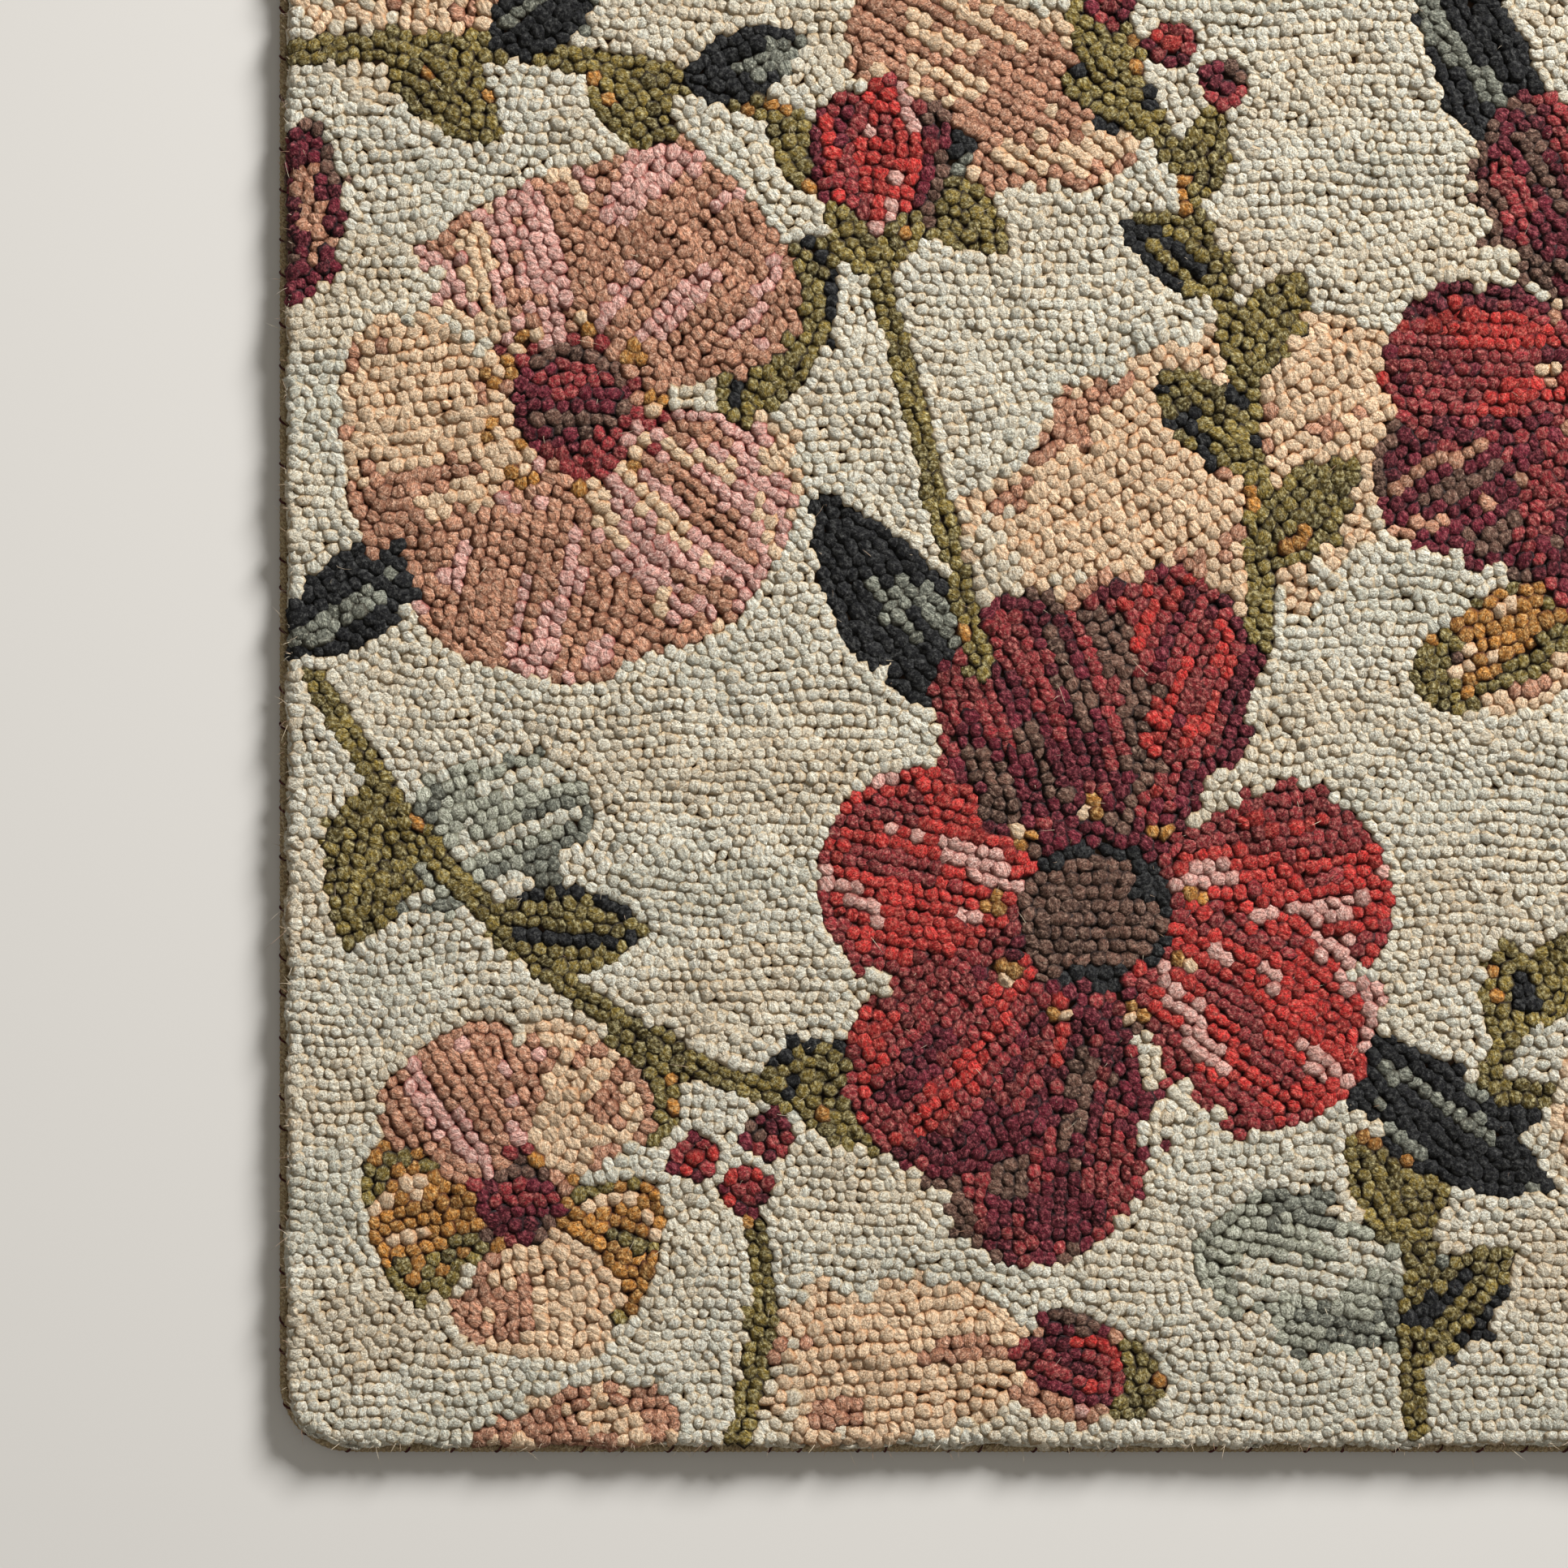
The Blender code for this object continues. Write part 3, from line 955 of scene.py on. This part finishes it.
def canvas_finish():
    """Undyed cloth: uneven pale brown, with painted shade between its threads."""
    finish, tree, shader = new_finish("hooking_canvas", 0.95, 0.1)
    here = put(tree, "TexCoord").outputs["Object"]
    wave = {"Vector": here, "Scale": 210.0, "Distortion": 0.6}
    warp, weft = (put(tree, "TexWave", wave, bands_direction=way).outputs[1] for way in "XY")
    weave = put(tree, "Math", {0: warp, 1: weft}, operation="MAXIMUM").outputs[0]
    slub = noise(tree, here, 90.0, 4.0, 0.5)
    colour = blend(tree, spread(tree, slub, 0.3, 0.7), linear((150, 128, 98)), linear((196, 178, 146)))
    # Painted shade between the threads of the weave
    colour = blend(tree, 1.0, colour, spread(tree, weave, 0.0, 1.0, 0.55, 1.0), "MULTIPLY")
    tree.links.new(colour, shader.inputs["Base Color"])
    raise_relief(tree, shader, weave, 0.6, 0.0003)
    return finish


canvas_inset = 0.0036
canvas = closed_sheet("rug_canvas", half_field - canvas_inset, corner_radius - canvas_inset,
                      0.0, canvas_thickness)
canvas.data.materials.append(canvas_finish())
print("canvas", (2000 * (half_field - canvas_inset)).round(1), "mm")

# %% [markdown]
# ## The legs of the loops
# Under its crown each loop has two legs that go down to the canvas. They are packed so tightly
# that one soft slab, a little smaller than the canvas, can stand for all of them. Its warm dark
# brown is painted shade, for the little light that gets so deep into the pile.

# %% Legs
legs_inset, legs_bottom, legs_top = 0.0046, 0.0012, pile_top - 0.0041
legs = closed_sheet("packed_legs", half_field - legs_inset, corner_radius - legs_inset,
                    legs_bottom, legs_top, 8)
legs_shade_finish, _, legs_shader = new_finish("packed_wool_painted_shade", 0.95, 0.1)
# The warm dark brown is painted shade deep in the pile
legs_shader.inputs["Base Color"].default_value = linear((84, 63, 49))
legs.data.materials.append(legs_shade_finish)
for piece in (canvas, legs):
    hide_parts("hooked_field")

# %% [markdown]
# ## The whipped binding
# The raw edge is rolled round a cord and whipped over and over with cream yarn. Each wrap of the
# whipping is a ridge that runs slantwise round the cord. The cord is a circle carried along the
# edge, whose radius swells and sinks with the wraps, and draws in where a stitch crosses it.

# %% Binding
cord_sides = 8
wrap_pitch = 0.0022
cord_radius = 0.00228
cord_inset, cord_shows = 0.0024, 0.0018
wrap_ridge, wrap_luck = 0.075, 0.015
tack_pitch, tack_pinch, pinch_reach = 0.018, 0.16, 0.002


def edge_path(half, radius, spacing):
    """Places at equal spacing round the edge, the way outwards there, and the whole length."""
    line = rounded(half, radius, 240)
    line = np.concatenate([line, line[:1]])
    run = running(line)
    steps = int(round(run[-1] / spacing))
    here, way = read_along(line, run, np.arange(steps) * run[-1] / steps, 0.002, closed=True)
    return here, -left_of(way), run[-1]


def ring_faces(stations, sides):
    """Quads of a tube that is closed both ways, from rows of points, one row a station."""
    i, j = np.meshgrid(np.arange(stations), np.arange(sides), indexing="ij")
    i_next, j_next = (i + 1) % stations, (j + 1) % sides
    quads = (i * sides + j, i_next * sides + j, i_next * sides + j_next, i * sides + j_next)
    return np.stack(quads, -1).reshape(-1, 4)


cord_corner = corner_radius + cord_shows - cord_inset
cord_line, cord_out, cord_length = edge_path(half_rug - cord_inset, cord_corner, wrap_pitch / 2)
stations = len(cord_line)
round_it = 2 * np.pi * np.arange(cord_sides) / cord_sides
progress = np.arange(stations)[:, None] * cord_length / stations
tack_count = int(cord_length / tack_pitch)
tack_at = (np.arange(tack_count) + dice.uniform(-0.22, 0.22, tack_count)) * cord_length / tack_count
to_tack = np.abs((progress - tack_at + cord_length / 2) % cord_length - cord_length / 2).min(1)
wraps = np.cos(2 * np.pi * progress / wrap_pitch + round_it)
pinch = tack_pinch * np.exp(-((to_tack / pinch_reach) ** 2))[:, None]
swell = 1 + wrap_ridge * wraps + dice.normal(0, wrap_luck, wraps.shape) - pinch
lift = cord_radius * 1.06
offset = cord_radius * swell
points = np.concatenate([cord_line[:, None] + cord_out[:, None] * (offset * np.cos(round_it))[..., None],
                         (lift + offset * np.sin(round_it))[..., None]], -1)
points[..., 2] = np.maximum(points[..., 2], 0.0)
quads = ring_faces(stations, cord_sides)
binding = surface("whipped_binding", points.reshape(-1, 3), quads[:, ::-1].ravel(), np.full(len(quads), 4))

# The map runs on past its start where a face closes the tube either way
side, station = quads % cord_sides, quads // cord_sides
closes_round = (side == 0) & (side.max(1, keepdims=True) == cord_sides - 1)
closes_run = (station == 0) & (station.max(1, keepdims=True) == stations - 1)
flat = np.stack(np.broadcast_arrays(1000 * progress, 1000 * cord_radius * round_it), -1)
flat = flat.reshape(-1, 2)[quads]
flat[:, :, 0] += 1000 * cord_length * closes_run
flat[:, :, 1] += 2000 * np.pi * cord_radius * closes_round
lay_map(binding, "yarn", flat[:, ::-1])
give(binding, "tone", np.clip(0.5 + 0.18 * dice.normal(size=points.shape[:2]), 0, 1))
# Painted shade in the valleys between the wraps
give(binding, "painted_shade", np.clip(0.35 - 0.45 * wraps, 0, 0.8))
binding.data.materials.append(wool("binding_wool", (210, 190, 150), (176, 146, 106), (120, 92, 60), 0.14))
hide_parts("edge_binding")
print("binding", round(cord_length, 2), "m,", len(quads), "faces,", tack_count, "tacks")

# %% [markdown]
# ## Tacking stitches
# Every two fingers or so a slanting stitch of dark red yarn holds the rolled edge down. A stitch
# is a short arc over the outside of the cord. All of them are one mesh: the same bent tube, its
# middle line turned round the cord while it slides along the edge.

# %% Tacks
tack_sides, tack_steps = 5, 7
tack_radius, tack_above = 0.00048, 0.00028
tack_slant, slant_luck = 0.0040, 0.0010
off_floor = 0.0006


def tack_points():
    """Points of the tacks, as an array of tacks by points: one ring for each step along a tack. The
    middle line is an arc of the cord's own circle, from under the loops to the floor, that slides
    along the edge, and the rings shrink at both ends."""
    n = len(tack_at)
    arc = np.radians(np.linspace(118, -62, tack_steps))
    slide = dice.normal(tack_slant, slant_luck, (n, 1)) * np.linspace(0.5, -0.5, tack_steps)
    at_run = (tack_at[:, None] + slide) % cord_length
    runs = np.arange(stations + 1) * cord_length / stations
    path, side = (np.stack([np.interp(at_run, runs, np.append(a[:, i], a[0, i])) for i in (0, 1)], -1)
                  for a in (cord_line, cord_out))
    radius = cord_radius * (1 - tack_pinch) + tack_above
    level = np.broadcast_to(np.sin(arc)[:, None], (n, tack_steps, 1))
    out = np.concatenate([side * np.cos(arc)[:, None], level], -1)
    middle = np.concatenate([path, 0 * level + lift], -1) + radius * out
    middle[..., 2] = np.maximum(middle[..., 2], off_floor)
    way = np.gradient(middle, axis=1)
    way /= np.linalg.norm(way, axis=-1, keepdims=True)
    out -= way * (out * way).sum(-1, keepdims=True)
    out /= np.linalg.norm(out, axis=-1, keepdims=True)
    turn = 2 * np.pi * np.arange(tack_sides) / tack_sides
    thick = tack_radius * np.sqrt(np.clip(1 - np.linspace(-1, 1, tack_steps) ** 6, 0.02, 1))
    ring = out[:, :, None] * np.cos(turn)[:, None] + np.cross(way, out)[:, :, None] * np.sin(turn)[:, None]
    return (middle[:, :, None] + ring * thick[:, None, None]).reshape(n, -1, 3)


tacks = tack_points()
i, j = np.meshgrid(np.arange(tack_steps - 1), np.arange(tack_sides), indexing="ij")
here, after = i * tack_sides + j, i * tack_sides + (j + 1) % tack_sides
walls = np.stack([here, after, after + tack_sides, here + tack_sides], -1)
caps = np.stack([np.arange(tack_sides)[::-1], (tack_steps - 1) * tack_sides + np.arange(tack_sides)])
one_tack = np.concatenate([walls.ravel(), caps.ravel()])
stitches = copies("tack_stitches", tacks, one_tack, np.repeat([4, tack_sides], [here.size, 2]))
across, down = np.broadcast_arrays(np.arange(tack_sides) * 0.7, np.arange(tack_steps)[:, None] * 1.2)
tack_map = np.stack([down.ravel(), across.ravel()], 1) + dice.uniform(0, 60, (tack_count, 1, 2))
lay_map(stitches, "yarn", tack_map[:, one_tack])
give(stitches, "tone", np.repeat(dice.uniform(0.2, 0.8, tack_count), tack_steps * tack_sides))
# A painted-shade share under where the ramp starts, so the stitches get none of it
give(stitches, "painted_shade", np.full(tacks[..., 0].size, 0.15))
stitches.data.materials.append(wool("tacking_yarn", (92, 38, 38), (130, 76, 68), (44, 16, 16), 0.2))
print(tack_count, "stitches")

# %% [markdown]
# ## Fuzz
# Wool is hairy: fine fibres stand off the loops and past the edge. Each hair is a thin pointed
# tube on a line that leaves a loop near its crown and curls over. There are more along the rim,
# where they show against the floor.

# %% Fuzz
hair_count, hair_sides = 9500, 3
hair_radii = (0.00010, 0.00007)
hair_root, longest_hair, highest_hair = 0.0006, 0.008, pile_top + 0.006
rim_chance = 22.0


def hairs():
    """Points as hairs by points: a root, two rings of three, and a tip. The line is root +
    s length way + s^2 curl, so that it starts straight and bends away."""
    chance = np.where(inside_edge(places) < rim_roll, rim_chance, 1.0)
    which = dice.choice(count, hair_count, p=chance / chance.sum())
    lean = up[which] * dice.uniform(0.1, 0.8, (hair_count, 1)) + dice.normal(0, 0.7, (hair_count, 3))
    lean[:, 2] = np.abs(lean[:, 2]) * 0.6
    lean /= np.linalg.norm(lean, axis=1, keepdims=True)
    length = np.minimum(dice.gamma(4, 0.0008, (hair_count, 1)), longest_hair)
    curl = dice.normal(0, 0.45, (hair_count, 3)) * length
    curl[:, 2] = -np.abs(curl[:, 2]) * 0.7
    s = np.array([0, 0.33, 0.70, 1.0])[:, None, None]
    line = crown[which] - up[which] * hair_root + s * length * lean + s**2 * curl
    line[..., 2] = np.clip(line[..., 2], off_floor, highest_hair)
    side = np.cross(lean, [0.31, 0.17, 0.93])
    side /= np.linalg.norm(side, axis=1, keepdims=True)
    other = np.cross(lean, side)
    turn = -2 * np.pi * np.arange(hair_sides) / hair_sides
    ring = side[:, None] * np.cos(turn)[:, None] + other[:, None] * np.sin(turn)[:, None]
    rings = [place[:, None] + radius * ring for place, radius in zip(line[1:3], hair_radii)]
    return np.concatenate([line[0][:, None], *rings, line[3][:, None]], 1)


fuzz = copies("wool_fuzz", hairs(), *closed_tube(2, hair_sides))
give(fuzz, "tone", np.repeat(dice.random(hair_count), 2 + 2 * hair_sides))


def fuzz_finish():
    """Single fibres from pale to brown, by the tone of each."""
    finish, tree, shader = new_finish("loose_fibre", 0.7, 0.3)
    tone = put(tree, "Attribute", attribute_name="tone").outputs["Fac"]
    colour = blend(tree, tone, linear((150, 110, 84)), linear((226, 212, 184)))
    tree.links.new(colour, shader.inputs["Base Color"])
    return finish


fuzz.data.materials.append(fuzz_finish())
print(hair_count, "hairs")

# %% [markdown]
# ## A sheet of cloth
# The rug is one sheet of cloth: its canvas, with the loops, the binding and the stitches on it,
# lying flat.

# %% [markdown]
# ## The studio
# A plain pale floor, a soft lamp low on the upper right, which throws the short shadow to the
# left and below, and a dim even sky. The camera looks straight down at one corner of the rug from
# far enough away that the view is nearly flat.

# %% Floor, light and camera
floor_reach, floor_gap = 4, 0.0003
lamp_beam = 70


def plain_floor():
    """One pale square, a hair below the rug so that the two don't touch."""
    square = np.array([[-1, -1, 0], [1, -1, 0], [1, 1, 0], [-1, 1, 0]])
    quad = floor_reach * square - [0, 0, floor_gap]
    mesh = bpy.data.meshes.new("floor")
    mesh.from_pydata(quad.tolist(), [], [(0, 1, 2, 3)])
    floor = bpy.data.objects.new("floor", mesh)
    bpy.context.scene.collection.objects.link(floor)
    finish, _, shader = new_finish("pale_floor", 0.7, 0.0)
    shader.inputs["Base Color"].default_value = (0.62, 0.60, 0.57, 1)
    mesh.materials.append(finish)


plain_floor()
view_width = 0.628
view_middle = np.array([-0.1395, -0.302])
lens, sensor = 85.0, 36.0
camera = bpy.data.objects.new("camera", bpy.data.cameras.new("camera"))
camera.data.lens, camera.data.sensor_width = lens, sensor
camera.location = (*view_middle, pile_top + view_width * lens / sensor)
camera.data.clip_end = 20
bpy.context.scene.collection.objects.link(camera)
bpy.context.scene.camera = camera


def lamp(name, turn, height, far, size, watts):
    """An area lamp that looks at the middle of the view from a turn and a height in degrees. Its
    beam is narrowed a little, so that the floor below it isn't lit more than the rug."""
    lamp_data = bpy.data.lights.new(name, "AREA")
    lamp_data.size, lamp_data.energy, lamp_data.spread = size, watts, np.radians(lamp_beam)
    lit = bpy.data.objects.new(name, lamp_data)
    turn, height = np.radians([turn, height])
    way = np.array([np.cos(turn) * np.cos(height), np.sin(turn) * np.cos(height), np.sin(height)])
    lit.location = far * way + [*view_middle, 0]
    lit.rotation_euler = (np.pi / 2 - height, 0, turn + np.pi / 2)
    bpy.context.scene.collection.objects.link(lit)


lamp("key", turn=51, height=27, far=3.6, size=0.97, watts=41)
sky = bpy.data.worlds.new("sky")
sky.use_nodes = True
sky.node_tree.nodes["Background"].inputs["Color"].default_value = (1, 0.96, 0.88, 1)
sky.node_tree.nodes["Background"].inputs["Strength"].default_value = 0.31
bpy.context.scene.world = sky
bpy.context.scene.view_settings.view_transform = "Standard"

# %% [markdown]
# ## Last, the triangle count
# The loops' triangles are counted and printed. Only loose hairs and the outermost loops should
# pass the solids.

# %% Triangle count
print("loop triangles", (one_sizes - 2).sum() * count)
